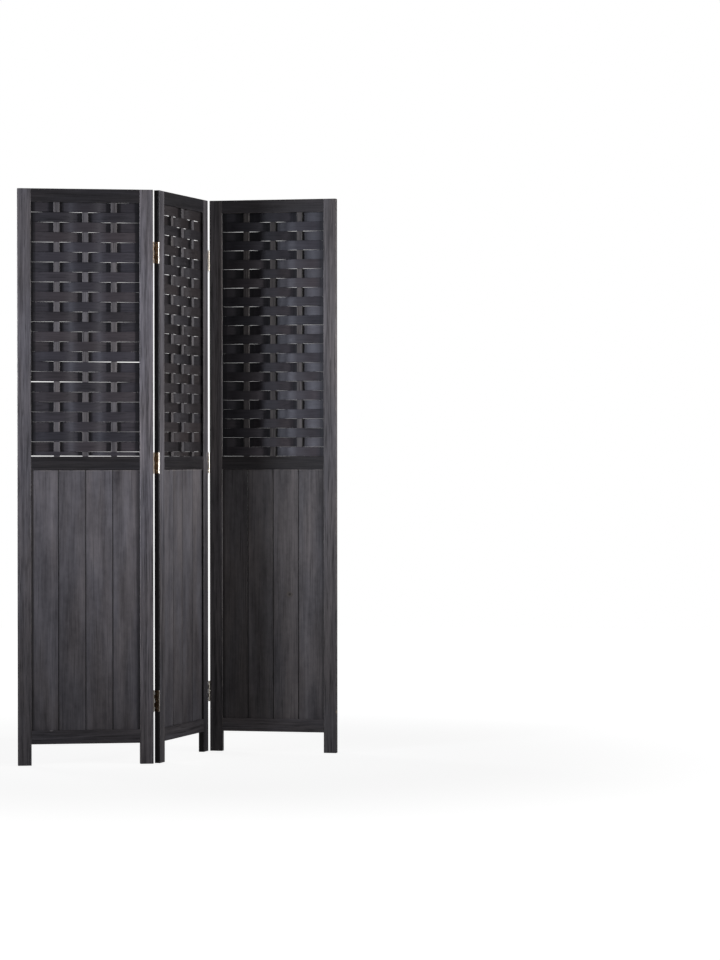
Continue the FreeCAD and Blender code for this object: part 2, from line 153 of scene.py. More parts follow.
# Wood grain along Z: growth rings round a leaning heart, fibres, pores and uneven stain
grainLook = {"wander": ((10.0, 10.0, 2.2), 2.0, 0.5), "wanderReach": 0.03, "ringDetail": 3.0,
             "ringRough": 0.6, "fibre": ((210.0, 210.0, 9.0), 5.0, 0.72),
             "pores": ((300.0, 300.0, 8.0), 3.0, 0.6), "poreStart": 0.53, "poreFull": 0.65,
             "blotch": ((14.0, 14.0, 4.0), 3.0, 0.6)}


def buildGrain():
    tree, given, result = newGroup(
        "grainFigure", "ShaderNodeTree",
        [("Vector", "Vector"), ("Heart", "Vector"), ("Rings", "Float"), ("Seed", "Float")],
        [("Figure", "Float"), ("Fibre", "Float"), ("Pores", "Float"), ("Blotch", "Float")])
    vector, seed = given["Vector"], given["Seed"]
    spot = split(tree, vector)
    heart = split(tree, given["Heart"])
    wander = noise(tree, vector, seed, *grainLook["wander"])
    across = sway(tree, calc(tree, "SUBTRACT", spot[0], heart[0]), wander, grainLook["wanderReach"])
    away = calc(tree, "MULTIPLY_ADD", spot[2], heart[2], calc(tree, "ADD", spot[1], heart[1]))
    ring = calc(tree, "SQRT", calc(tree, "MULTIPLY_ADD", across, across, calc(tree, "MULTIPLY", away, away)))
    turns = calc(tree, "MULTIPLY_ADD", ring, given["Rings"], seed)
    ringed = {"W": turns, "Scale": 1.0, "Detail": grainLook["ringDetail"],
              "Roughness": grainLook["ringRough"]}
    figure = addNode(tree, "ShaderNodeTexNoise", ringed, noise_dimensions="1D").outputs["Fac"]
    fibre = noise(tree, vector, seed, *grainLook["fibre"])
    pitted = noise(tree, vector, seed, *grainLook["pores"])
    pores = ease(tree, pitted, grainLook["poreStart"], grainLook["poreFull"])
    blotch = noise(tree, vector, seed, *grainLook["blotch"])
    for label, value in (("Figure", figure), ("Fibre", fibre), ("Pores", pores), ("Blotch", blotch)):
        tree.links.new(value, result[label])
    return tree


# Distance along the surface to the nearest edge of a box
def buildEdge():
    tree, given, result = newGroup("edgeDistance", "ShaderNodeTree",
                                   [("Vector", "Vector"), ("Centre", "Vector"), ("Half", "Vector")],
                                   [("Distance", "Float")])
    offset = vectorCalc(tree, "SUBTRACT", given["Vector"], given["Centre"])[0]
    apart = vectorCalc(tree, "ABSOLUTE", offset)[0]
    gap = split(tree, vectorCalc(tree, "SUBTRACT", given["Half"], apart)[0])
    lower = calc(tree, "MINIMUM", gap[0], gap[1])
    upper = calc(tree, "MAXIMUM", gap[0], gap[1])
    tree.links.new(calc(tree, "MAXIMUM", lower, calc(tree, "MINIMUM", upper, gap[2])), result["Distance"])
    return tree


grainFigure = buildGrain()
edgeDistance = buildEdge()


def newMaterial(name):
    material = bpy.data.materials.new(name)
    material.use_nodes = True
    tree = material.node_tree
    return material, tree, tree.nodes["Principled BSDF"]


def panelCoords(tree, side):
    place = places[side]
    spot = addNode(tree, "ShaderNodeTexCoord").outputs["Object"]
    values = {"Vector": spot, "Location": place.to_translation(), "Rotation": place.to_euler()}
    return addNode(tree, "ShaderNodeMapping", values, vector_type="TEXTURE").outputs[0]


def turnGrain(tree, vector):
    # Lays the grain along X by trading X for Z
    spot = split(tree, vector)
    return addNode(tree, "ShaderNodeCombineXYZ", {0: spot[2], 1: spot[1], 2: spot[0]}).outputs[0]


# Marks and painted shade on single pieces: a ragged patch round one point of a panel
markLook = {"noise": ((300.0, 300.0, 300.0), 3.0, 0.6), "seed": 3.0, "ragged": 0.9, "solid": 0.7}


def markAndShadeShare(tree, local, centre, reach):
    offset = vectorCalc(tree, "SUBTRACT", local, centre)[0]
    shrunk = vectorCalc(tree, "MULTIPLY", offset, [1.0 / value for value in reach])[0]
    length = vectorCalc(tree, "LENGTH", shrunk)["Value"]
    torn = noise(tree, local, markLook["seed"], *markLook["noise"])
    ragged = calc(tree, "MULTIPLY_ADD", torn, markLook["ragged"], length)
    middle = markLook["ragged"] / 2
    return ease(tree, ragged, 1.0 + middle, markLook["solid"] + middle)


# Wear: edges rubbed pale here and there
wearLook = {"noise": ((38.0, 38.0, 38.0), 4.0, 0.65), "start": 0.42, "full": 0.68, "least": 0.0004,
            "spread": 0.0024, "core": 0.2}


def wornShare(tree, local, box, rubbed, most):
    boxed = {"Vector": local, "Centre": (box[0] + box[1]) / 2, "Half": (box[1] - box[0]) / 2}
    edge = addNode(tree, "ShaderNodeGroup", boxed, node_tree=edgeDistance)
    patches = ease(tree, rubbed, wearLook["start"], wearLook["full"])
    reach = calc(tree, "MULTIPLY_ADD", patches, wearLook["spread"], wearLook["least"])
    return ease(tree, calc(tree, "DIVIDE", edge.outputs["Distance"], reach), 1.0, wearLook["core"], 0.0, most)


# Joints of the boards: dark V grooves, painted shadow of the stiles along the board sides, a pale line under
# the middle rail
jointLook = {"grooveOuter": 0.0026, "grooveInner": 0.0010, "stileShadowOuter": 0.0095, "stileShadowInner": 0.0055,
             "stileShadowShare": 0.5, "paleLineLow": 0.0055, "paleLineHigh": 0.0015, "paleLineStart": 0.36, "paleLineFull": 0.6,
             "paleLineShare": 0.42}


def boardJoints(tree, local, colour, rubbed, look):
    spot = split(tree, local)
    groove = calc(tree, "PINGPONG", calc(tree, "SUBTRACT", spot[0], stileWidth), boardPitch / 2)
    shade = ease(tree, groove, jointLook["grooveOuter"], jointLook["grooveInner"], 0.0, look["joint"])
    colour = blendColour(tree, shade, colour, look["pit"])
    # Painted shadow: the boards darken beside the stiles, where the stiles' shadows fall
    aside = calc(tree, "ABSOLUTE", calc(tree, "SUBTRACT", spot[0], panelHalf))
    toStile = calc(tree, "SUBTRACT", fieldWide / 2, aside)
    shade = ease(tree, toStile, jointLook["stileShadowOuter"], jointLook["stileShadowInner"], 0.0, jointLook["stileShadowShare"])
    colour = blendColour(tree, shade, colour, look["pit"])
    # A pale broken line along the tops of the boards, just under the middle rail
    paleLine = ease(tree, spot[2], boardTop - jointLook["paleLineLow"], boardTop - jointLook["paleLineHigh"])
    paleLine = calc(tree, "MULTIPLY", paleLine, ease(tree, rubbed, jointLook["paleLineStart"], jointLook["paleLineFull"]))
    return blendColour(tree, calc(tree, "MULTIPLY", paleLine, jointLook["paleLineShare"]), colour, look["worn"])


def stainedWood(name, side, box, look, seed, heart, stainAndPaintedLight):
    material, tree, shader = newMaterial(name)
    local = panelCoords(tree, side)
    along = turnGrain(tree, local) if look["grainAcross"] else local
    figured = {"Vector": along, "Heart": heart, "Rings": look["rings"], "Seed": seed}
    grain = addNode(tree, "ShaderNodeGroup", figured, node_tree=grainFigure).outputs
    # One tone from the rings, the fibres, the stain and the curl
    level = 0.5
    for label in ("figure", "fibre", "blotch"):
        level = sway(tree, level, grain[label.capitalize()], look[label])
    level = sway(tree, level, noise(tree, local, seed + 6.0, *look["curlNoise"]), look["curl"])
    level = calc(tree, "ADD", level, 0.0, clamp=True)
    colour = blendColour(tree, level, look["dark"], look["light"])
    colour = blendColour(tree, calc(tree, "MULTIPLY", grain["Pores"], look["pores"]), colour, look["pit"])
    rubbed = noise(tree, local, seed + 4.0, *wearLook["noise"])
    colour = blendColour(tree, wornShare(tree, local, box, rubbed, look["wear"]), colour, look["worn"])
    if look["joint"]:
        colour = boardJoints(tree, local, colour, rubbed, look)
    # Marks, and painted shade on side faces that sit in shadow
    for centre, reach, dab in marksAndShades.get(name, ()):
        colour = blendColour(tree, markAndShadeShare(tree, local, centre, reach), colour, dab)
    # Patches where the stain leans warm or cool
    patch = noise(tree, along, seed + 9.0, *look["patchNoise"])
    patch = ease(tree, patch, look["patchStart"], look["patchFull"])
    colour = blendColour(tree, 1.0, colour, blendColour(tree, patch, look["warm"], look["cool"]), "MULTIPLY")
    # The piece's stain, with painted shade on the pieces that stand in shadow
    colour = blendColour(tree, 1.0, colour, stainAndPaintedLight, "MULTIPLY")
    tree.links.new(colour, shader.inputs["Base Color"])
    rough = sway(tree, look["rough"], grain["Fibre"], look["roughFibre"])
    rough = calc(tree, "MULTIPLY_ADD", grain["Pores"], look["roughPores"], rough)
    tree.links.new(rough, shader.inputs["Roughness"])
    raised = calc(tree, "MULTIPLY_ADD", grain["Pores"], look["poreHeight"], grain["Fibre"])
    raised = calc(tree, "MULTIPLY_ADD", grain["Figure"], look["ringHeight"], raised)
    relief = {"Height": raised, "Strength": look["bump"], "Distance": look["relief"]}
    tree.links.new(addNode(tree, "ShaderNodeBump", relief).outputs[0], shader.inputs["Normal"])
    shader.inputs["Specular IOR Level"].default_value = look["gloss"]
    return material


def dress(name, material):
    frame["nodes"][name].material_slots[0].material = material


# Stiles: upright grain, satin stain, fine pale streaks; their pale tone holds painted sheen of the side lamps
# on upright grain
stileLook = {"grainAcross": False, "rings": 80.0, "figure": 1.2, "fibre": 1.7, "blotch": 0.8, "pores": 0.75,
             "dark": tone(0.036, 0.034, 0.040), "light": tone(0.168, 0.161, 0.178),
             "pit": tone(0.014, 0.0134, 0.015), "worn": tone(0.24, 0.225, 0.22), "wear": 0.5, "joint": 0.0,
             "curl": 0.15, "curlNoise": ((70.0, 70.0, 55.0), 2.0, 0.5),
             "warm": tone(1.022, 1.0, 0.972), "cool": tone(0.98, 0.998, 1.024),
             "patchNoise": ((18.0, 18.0, 3.0), 2.0, 0.5), "patchStart": 0.35, "patchFull": 0.65,
             "rough": 0.5, "roughFibre": 0.35, "roughPores": 0.12, "gloss": 0.3,
             "poreHeight": -0.8, "ringHeight": 0.35, "bump": 0.35, "relief": 0.0005}

# Boards: the same stain on wider rings
boardLook = dict(stileLook, rings=50.0, figure=0.8, fibre=0.8, blotch=1.5, pores=0.3, wear=0.0, joint=0.85,
                 curl=0.4)

# Battens: paler than the slats that pass round them, partly painted sheen of upright grain
battenLook = dict(stileLook, rings=210.0, dark=tone(0.040, 0.038, 0.043), light=tone(0.142, 0.136, 0.146),
                  wear=0.35)

# Rails: grain across, painted darker for the weaker sheen that side light gives grain across
railLook = dict(stileLook, grainAcross=True, rings=170.0, dark=tone(0.0086, 0.0082, 0.0097),
                light=tone(0.030, 0.0285, 0.0325), worn=tone(0.08, 0.074, 0.073), wear=0.35, gloss=0.2)
# Bottom rail: paler, painted sheen of the light that falls from above near the floor
lowRailLook = dict(railLook, dark=tone(0.024, 0.023, 0.0265), light=tone(0.084, 0.080, 0.090))

# Dowels: bare pale wood, inside the joints
dowelLook = dict(railLook, dark=tone(0.45, 0.33, 0.20), light=tone(0.68, 0.53, 0.36),
                 pit=tone(0.34, 0.24, 0.14), worn=tone(0.70, 0.56, 0.39), rough=0.6)

# Painted shade on side faces that sit in shadow, the whole height of a piece
panelDeep, panelRise, fieldRise = panelThick / 2, panelTall / 2, 1.3
stileShadeReach, battenShadeReach = (0.0012, 0.05, 3.0), (0.002, 0.05, 3.0)
battenShade = tone(0.008, 0.008, 0.008)
knot = (0.252, 0.0055, 0.486)

# Marks and painted shade that single pieces carry: centre and reach in panel metres, colour
marksAndShades = {
    "middle_panel_left_stile": [((0.0, panelDeep, panelRise), stileShadeReach, tone(0.022, 0.021, 0.023))],
    "middle_panel_right_stile": [((2 * panelHalf - stileWidth, panelDeep, panelRise), stileShadeReach,
                                  tone(0.021, 0.020, 0.0215))],
    "right_panel_centre_batten": [((panelHalf + battenWide / 2, panelDeep, fieldRise), battenShadeReach,
                                   battenShade)],
    "right_panel_right_batten": [((panelHalf + battenSpan + battenWide / 2, panelDeep, fieldRise), battenShadeReach,
                                  battenShade)],
    "right_panel_right_stile": [((2 * panelHalf, 0.002, 0.127), (0.0022, 0.004, 0.006),
                                 tone(0.55, 0.46, 0.36))],
    "left_panel_bottom_rail": [((0.097, 0.001, 0.1022), (0.006, 0.004, 0.0016), tone(0.25, 0.24, 0.25))],
    "right_panel_board_3": [(knot, (0.012, 0.01, 0.010), tone(0.095, 0.088, 0.088)),
                            (knot, (0.0045, 0.01, 0.0045), tone(0.040, 0.037, 0.037))],
}
# How much paler or darker single pieces took the stain, and each panel's tint; on the right panel, pieces
# nearer the middle panel are darker as painted shade of its shadow
pieceStainAndShade = {
    "left_panel_left_stile": 0.80, "left_panel_right_stile": 1.2, "left_panel_top_rail": 1.15,
    "left_panel_bottom_rail": 1.1, "left_panel_board_1": 0.93, "left_panel_board_2": 0.86,
    "left_panel_board_4": 0.93,
    "middle_panel_right_stile": 0.73, "middle_panel_bottom_rail": 1.4, "middle_panel_board_1": 1.1,
    "right_panel_left_stile": 0.69, "right_panel_right_stile": 0.92, "right_panel_top_rail": 1.95,
    "right_panel_middle_rail": 1.15, "right_panel_bottom_rail": 1.65, "right_panel_left_batten": 0.55,
    "right_panel_centre_batten": 0.78, "right_panel_right_batten": 0.95, "right_panel_board_1": 0.54,
    "right_panel_board_2": 0.69, "right_panel_board_4": 1.08,
}
panelStain = {"left": (1.025, 0.99, 0.985), "middle": (1.0, 0.985, 0.985), "right": (1.025, 0.98, 0.935)}
pieceLooks = [("left_stile", stileLook), ("right_stile", stileLook), ("bottom_rail", lowRailLook),
              ("middle_rail", railLook), ("top_rail", railLook), ("left_batten", battenLook),
              ("centre_batten", battenLook), ("right_batten", battenLook), ("board_1", boardLook),
              ("board_2", boardLook), ("board_3", boardLook), ("board_4", boardLook), ("dowels", dowelLook)]
seedSteps = {"piece": 7.3, "panel": 31.7}

# The tree's heart lies behind a piece, near its middle and leaning a little
heartLook = {"aside": 0.07, "nearest": 0.02, "farthest": 0.09, "lean": 0.02}
archedPiece = {"name": "left_panel_board_2", "behind": 0.012, "lean": 0.045}  # cut close to the heart


def pieceHeart(name, box, look, seed):
    middle = (box[0] + box[1]) / 2
    centre = middle.z if look["grainAcross"] else middle.x
    if name == archedPiece["name"]:
        return (centre, archedPiece["behind"], archedPiece["lean"])
    pick = random.Random(seed)
    aside = pick.uniform(-heartLook["aside"], heartLook["aside"])
    behind = pick.uniform(heartLook["nearest"], heartLook["farthest"])
    return (centre + aside, behind, pick.uniform(-heartLook["lean"], heartLook["lean"]))


for side in sides:
    for order, (piece, look) in enumerate(pieceLooks):
        name = side + "_panel_" + piece
        box = localBox(name, side)
        seed = seedSteps["piece"] * order + seedSteps["panel"] * sides.index(side)
        stainAndPaintedLight = tone(*[pieceStainAndShade.get(name, 1.0) * value for value in panelStain[side]])
        dress(name, stainedWood(name, side, box, look, seed, pieceHeart(name, box, look, seed), stainAndPaintedLight))
print("wood laid on the panels")

# Slats: thin strips bent round the battens, rows tilted and twisted by a few parts of a degree
# Slat colours: dark, painted for the weaker sheen that side light gives grain across
slatLook = {"thick": 0.0026, "seat": 0.012, "endFlat": 0.006, "endLean": 0.0007, "clear": 0.0001,
            "edgeRound": 0.0006, "bendSteps": 10, "crease": 0.35, "tilt": 0.04, "twist": 0.5, "lift": 0.00005,
            "brown": tone(0.0383, 0.0317, 0.0322), "blue": tone(0.0282, 0.0270, 0.0319),
            "heart": (1.1, 0.05, 0.01), "rings": 190.0, "seedSpread": 40.0, "shadeTurns": 17.0,
            "darkest": 0.76, "shades": 0.45, "figure": 0.77, "fibre": 0.88, "blotch": 0.88, "pores": -0.35,
            "rough": 0.46, "roughFibre": 0.3, "gloss": 0.46, "glossTint": tone(0.89, 0.90, 1.0),
            "poreHeight": -0.6, "bump": 0.15, "relief": 0.0004}

# Painted shade on the slats: in the pockets beside the battens and at the stiles, where shadows fall
paintedShadeLook = {"pocketOuter": 0.0235, "pocketInner": 0.0205, "pocketDeep": 0.0058, "pocketFlat": 0.0050,
              "pocketShare": -0.6, "stileOuter": 0.009, "stileInner": 0.004, "stileLevel": 0.6}

# Weave of each panel: which way its first row starts, its rows, the narrow strip below, rows that hang loose
# Each also holds its stain and a painted light ramp across the field; the right panel's bluish stain partly
# paints the left lamp's sheen
weaves = {
    "left": {"way": 1.0, "rows": 25, "pitch": 0.0294, "height": 0.0292, "strip": 0.0121, "stripLow": 0.9127,
             "looseRow": 16, "slack": 0.0010, "looseTilt": 0.5, "firstTilt": 0.15, "stripTilt": 0.3,
             "seed": 11, "stainAndPaintedLight": (0.875, 0.845, 0.925), "paintedLightRamp": (0.88, 1.02)},
    "middle": {"way": -1.0, "rows": 25, "pitch": 0.0294, "height": 0.0293, "strip": 0.0136,
               "stripLow": 0.9112, "looseRow": 99, "slack": 0.0, "looseTilt": 0.0, "firstTilt": 0.0,
               "stripTilt": 0.06, "seed": 23, "stainAndPaintedLight": (0.64, 0.615, 0.605), "paintedLightRamp": (1.0, 1.0)},
    "right": {"way": 1.0, "rows": 26, "pitch": 0.0288, "height": 0.0287, "strip": 0.0, "stripLow": 0.0,
              "looseRow": 25, "slack": 0.0, "looseTilt": 0.05, "firstTilt": 0.0, "stripTilt": 0.0,
              "seed": 37, "stainAndPaintedLight": (0.95, 0.935, 1.03), "paintedLightRamp": (0.5, 1.07)},
}


def slatPath(way):
    # Plan of one slat about the middle of the field: flats on the battens and in the grooves, arcs between
    depthAtBatten = way * ((battenThick + slatLook["thick"]) / 2 + slatLook["clear"])
    endDepth = math.copysign(slatLook["endLean"], way)
    half, seat = fieldWide / 2, slatLook["seat"] / 2
    flats = [(-half - slatLook["endFlat"], -half, endDepth),
             (-battenSpan - seat, -battenSpan + seat, depthAtBatten),
             (-seat, seat, -depthAtBatten),
             (battenSpan - seat, battenSpan + seat, depthAtBatten),
             (half, half + slatLook["endFlat"], endDepth)]
    points = [(flats[0][0], flats[0][2])]
    for (_, high, depth), after in zip(flats, flats[1:] + [None]):
        points.append((high, depth))
        if after is None:
            break
        run, rise = after[0] - high, after[2] - depth
        bend = 2 * math.atan2(abs(rise), run)
        radius = run / 2 / math.sin(bend)
        steps = slatLook["bendSteps"]
        arc = [(radius * math.sin(bend * k / steps), radius * (1 - math.cos(bend * k / steps)))
               for k in range(1, steps + 1)]
        lift = math.copysign(1.0, rise)
        points += [(high + x, depth + lift * y) for x, y in arc]
        points += [(after[0] - x, after[2] - lift * y) for x, y in reversed(arc[:-1])]
        points.append((after[0], after[2]))
    return points


def buildWeave():
    tree, given, result = newGroup(
        "wovenSlats", "GeometryNodeTree",
        [("Geometry", "Geometry"), ("Row Count", "Int"), ("Strip Count", "Int"), ("Row Pitch", "Float"),
         ("Field Top", "Float"), ("Slat Height", "Float"), ("Slat Thickness", "Float"),
         ("Edge Round", "Float"), ("Strip Height", "Float"), ("Strip Level", "Float"), ("Loose Row", "Int"),
         ("Loose Slack", "Float"), ("Loose Tilt", "Float"), ("First Tilt", "Float"), ("Strip Tilt", "Float"),
         ("Tilt", "Float"), ("Twist", "Float"), ("Lift", "Float"), ("Seed", "Int"), ("Finish", "Material")],
        [("Geometry", "Geometry")])
    index = addNode(tree, "GeometryNodeInputIndex").outputs[0]

    def chance(reach, shift):
        made = addNode(tree, "FunctionNodeRandomValue", {"Seed": calc(tree, "ADD", given["Seed"], shift)})
        return calc(tree, "MULTIPLY", calc(tree, "MULTIPLY_ADD", made.outputs[1], 2.0, -1.0), reach)

    def reached(row, extra):
        return calc(tree, "GREATER_THAN", index, calc(tree, "ADD", row, extra - 0.5))

    profile = addNode(tree, "GeometryNodeCurvePrimitiveQuadrilateral",
                      {"Width": given["Slat Thickness"], "Height": given["Slat Height"]})
    rounded = addNode(tree, "GeometryNodeFilletCurve", {"Curve": profile.outputs[0], "Count": 2,
                                                        "Radius": given["Edge Round"]}, mode="POLY")
    plan = addNode(tree, "GeometryNodeMeshToCurve", {"Mesh": given["Geometry"]}).outputs[0]
    flipped = {"Geometry": plan, "Scale": (1.0, -1.0, 1.0)}
    mirrored = addNode(tree, "GeometryNodeTransform", flipped).outputs[0]

    def bentSlat(path):
        upright = addNode(tree, "GeometryNodeSetCurveNormal", {"Curve": path}, mode="Z_UP").outputs[0]
        swept = {"Curve": upright, "Profile Curve": rounded.outputs[0], "Fill Caps": True}
        return addNode(tree, "GeometryNodeCurveToMesh", swept).outputs[0]

    # One point for each row, counted from the top, and one for the strip under the last
    total = calc(tree, "ADD", given["Row Count"], given["Strip Count"])
    line = addNode(tree, "GeometryNodeMeshLine", {"Count": total}).outputs[0]
    above, below = reached(given["Loose Row"], 0.0), reached(given["Loose Row"], 2.0)
    isStrip = reached(given["Row Count"], 0.0)
    drop = calc(tree, "MULTIPLY", given["Row Pitch"], calc(tree, "ADD", index, 1.0))
    drop = calc(tree, "MULTIPLY_ADD", calc(tree, "ADD", above, below), given["Loose Slack"], drop)
    level = calc(tree, "SUBTRACT", given["Field Top"], drop)
    level = calc(tree, "MULTIPLY_ADD", given["Slat Height"], 0.5, level)
    level = calc(tree, "ADD", level, chance(given["Lift"], 1.0))
    level = addNode(tree, "ShaderNodeMix", {0: isStrip, 2: level, 3: given["Strip Level"]}).outputs[0]
    spot = addNode(tree, "ShaderNodeCombineXYZ", {2: level}).outputs[0]
    rows = addNode(tree, "GeometryNodeSetPosition", {"Geometry": line, "Position": spot}).outputs[0]
    # Lean of each row: its own, and more for loose rows, the first row and the strip
    lean = calc(tree, "MULTIPLY", calc(tree, "SUBTRACT", above, below), given["Loose Tilt"])
    lean = calc(tree, "ADD", lean, chance(given["Tilt"], 2.0))
    lean = calc(tree, "MULTIPLY_ADD", calc(tree, "LESS_THAN", index, 0.5), given["First Tilt"], lean)
    lean = calc(tree, "MULTIPLY_ADD", isStrip, given["Strip Tilt"], lean)
    turn = addNode(tree, "ShaderNodeCombineXYZ", {0: chance(given["Twist"], 3.0), 1: lean}).outputs[0]
    squeeze = calc(tree, "DIVIDE", given["Strip Height"], given["Slat Height"])
    tall = addNode(tree, "ShaderNodeMix", {0: isStrip, 2: 1.0, 3: squeeze}).outputs[0]
    size = addNode(tree, "ShaderNodeCombineXYZ", {0: 1.0, 1: 1.0, 2: tall}).outputs[0]
    # Every other row passes the battens the other way
    isOther = calc(tree, "MODULO", index, 2.0)
    isFirst = calc(tree, "SUBTRACT", 1.0, isOther)
    join = addNode(tree, "GeometryNodeJoinGeometry")
    for order, (path, chosen) in enumerate(((plan, isFirst), (mirrored, isOther))):
        spread = {"Points": rows, "Selection": chosen, "Instance": bentSlat(path), "Rotation": turn,
                  "Scale": size}
        placed = addNode(tree, "GeometryNodeInstanceOnPoints", spread).outputs[0]
        ownSeed = calc(tree, "ADD", given["Seed"], float(order))
        own = addNode(tree, "FunctionNodeRandomValue", {"Seed": ownSeed}).outputs[1]
        stored = {"Geometry": placed, "Name": "rowTint", "Value": own}
        tinted = addNode(tree, "GeometryNodeStoreNamedAttribute", stored, domain="INSTANCE").outputs[0]
        tree.links.new(tinted, join.inputs[0])
    whole = addNode(tree, "GeometryNodeRealizeInstances", {"Geometry": join.outputs[0]}).outputs[0]
    # Edges that turn less than the crease angle are shaded smooth
    angle = addNode(tree, "GeometryNodeInputMeshEdgeAngle").outputs[0]
    smoothed = {"Geometry": whole, "Shade Smooth": calc(tree, "LESS_THAN", angle, slatLook["crease"])}
    creased = addNode(tree, "GeometryNodeSetShadeSmooth", smoothed, domain="EDGE").outputs[0]
    finished = {"Geometry": creased, "Material": given["Finish"]}
    tree.links.new(addNode(tree, "GeometryNodeSetMaterial", finished).outputs[0], result[0])
    return tree


def paintedShadeAndLight(tree, along, level, paintedLightRamp):
    # Painted shade in a slat's pockets and at the stiles, and painted light that rises or falls from end to
    # end
    spot = split(tree, along)
    across = calc(tree, "SUBTRACT", spot[2], panelHalf)
    toBatten = calc(tree, "PINGPONG", across, battenSpan / 2)
    deep = calc(tree, "ABSOLUTE", calc(tree, "SUBTRACT", spot[1], panelThick / 2))
    beside = ease(tree, toBatten, paintedShadeLook["pocketOuter"], paintedShadeLook["pocketInner"])
    sunk = ease(tree, deep, paintedShadeLook["pocketDeep"], paintedShadeLook["pocketFlat"])
    pocket = calc(tree, "MULTIPLY", beside, sunk)
    level = calc(tree, "MULTIPLY", level, calc(tree, "MULTIPLY_ADD", pocket, paintedShadeLook["pocketShare"], 1.0))
    toStile = calc(tree, "SUBTRACT", fieldWide / 2, calc(tree, "ABSOLUTE", across))
    ends = ease(tree, toStile, paintedShadeLook["stileOuter"], paintedShadeLook["stileInner"],
                1.0, paintedShadeLook["stileLevel"])
    level = calc(tree, "MULTIPLY", level, ends)
    return calc(tree, "MULTIPLY", level, ease(tree, across, -fieldWide / 2, fieldWide / 2, *paintedLightRamp))


def slatWood(side):
    material, tree, shader = newMaterial(side + "_panel_slats")
    weave = weaves[side]
    along = turnGrain(tree, panelCoords(tree, side))
    tint = addNode(tree, "ShaderNodeAttribute", attribute_name="rowTint").outputs["Fac"]
    figured = {"Vector": along, "Heart": slatLook["heart"], "Rings": slatLook["rings"],
               "Seed": calc(tree, "MULTIPLY", tint, slatLook["seedSpread"])}
    grain = addNode(tree, "ShaderNodeGroup", figured, node_tree=grainFigure).outputs
    base = blendColour(tree, tint, slatLook["brown"], slatLook["blue"])
    base = blendColour(tree, 1.0, base, tone(*weave["stainAndPaintedLight"]), "MULTIPLY")
    # Each row's own shade, drawn from its tint, then the grain
    shade = calc(tree, "FRACT", calc(tree, "MULTIPLY", tint, slatLook["shadeTurns"]))
    level = calc(tree, "MULTIPLY_ADD", shade, slatLook["shades"], slatLook["darkest"])
    for label in ("figure", "fibre", "blotch"):
        level = sway(tree, level, grain[label.capitalize()], slatLook[label])
    level = calc(tree, "MULTIPLY_ADD", grain["Pores"], slatLook["pores"], level)
    level = paintedShadeAndLight(tree, along, level, weave["paintedLightRamp"])
    colour = addNode(tree, "ShaderNodeVectorMath", {0: base, "Scale": level}, operation="SCALE").outputs[0]
    tree.links.new(colour, shader.inputs["Base Color"])
    rough = sway(tree, slatLook["rough"], grain["Fibre"], slatLook["roughFibre"])
    tree.links.new(rough, shader.inputs["Roughness"])
    raised = calc(tree, "MULTIPLY_ADD", grain["Pores"], slatLook["poreHeight"], grain["Fibre"])
    relief = {"Height": raised, "Strength": slatLook["bump"], "Distance": slatLook["relief"]}
    tree.links.new(addNode(tree, "ShaderNodeBump", relief).outputs[0], shader.inputs["Normal"])
    shader.inputs["Specular IOR Level"].default_value = slatLook["gloss"]
    shader.inputs["Specular Tint"].default_value = slatLook["glossTint"]
    return material


wovenSlats = buildWeave()
socketIds = {item.name: item.identifier for item in wovenSlats.interface.items_tree if item.in_out == "INPUT"}


def weaveField(side):
    weave = weaves[side]
    plan = slatPath(weave["way"])
    mesh = bpy.data.meshes.new(side + "_panel_weave")
    mesh.from_pydata([(x, y, 0.0) for x, y in plan], [(k, k + 1) for k in range(len(plan) - 1)], [])
    woven = bpy.data.objects.new(side + "_panel_weave", mesh)
    bpy.context.scene.collection.objects.link(woven)
    modifier = woven.modifiers.new("weave", "NODES")
    modifier.node_group = wovenSlats
    settings = {
        "Row Count": weave["rows"], "Strip Count": 1 if weave["strip"] else 0,
        "Row Pitch": weave["pitch"] - 2 * weave["slack"] / weave["rows"], "Field Top": fieldHigh,
        "Slat Height": weave["height"], "Slat Thickness": slatLook["thick"],
        "Edge Round": slatLook["edgeRound"], "Strip Height": weave["strip"],
        "Strip Level": weave["stripLow"] + weave["strip"] / 2, "Loose Row": weave["looseRow"],
        "Loose Slack": weave["slack"], "Loose Tilt": math.radians(weave["looseTilt"]),
        "First Tilt": math.radians(weave["firstTilt"]), "Strip Tilt": math.radians(weave["stripTilt"]),
        "Tilt": math.radians(slatLook["tilt"]), "Twist": math.radians(slatLook["twist"]),
        "Lift": slatLook["lift"], "Seed": weave["seed"], "Finish": slatWood(side)}
    for label, value in settings.items():
        modifier[socketIds[label]] = value
    woven.update_tag()
    bpy.context.view_layer.update()
    solid = bpy.data.meshes.new_from_object(woven.evaluated_get(bpy.context.evaluated_depsgraph_get()))
    woven.modifiers.remove(modifier)
    woven.data = solid
    solid.transform(places[side] @ Matrix.Translation((panelHalf, panelThick / 2, 0.0)))
    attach(woven, side + "_panel")
    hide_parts(side + "_panel_odd_slats", side + "_panel_even_slats")
    return len(solid.polygons)


print("weave:", [weaveField(side) for side in sides], "faces")

# Hinges: brass leaves painted dark for the shade in the joints, with a painted highlight along their front
# edges, brass screws, steel pins
metalLook = {"tarnish": ((60.0, 60.0, 30.0), 3.0, 0.6), "brush": ((240.0, 240.0, 2600.0), 2.0, 0.5),
             "dullStart": 0.44, "dullFull": 0.70, "glintDeep": 0.0024, "glintFront": 0.0012,
             "roughDull": 0.10, "roughBrush": 0.14, "relief": 0.0002}
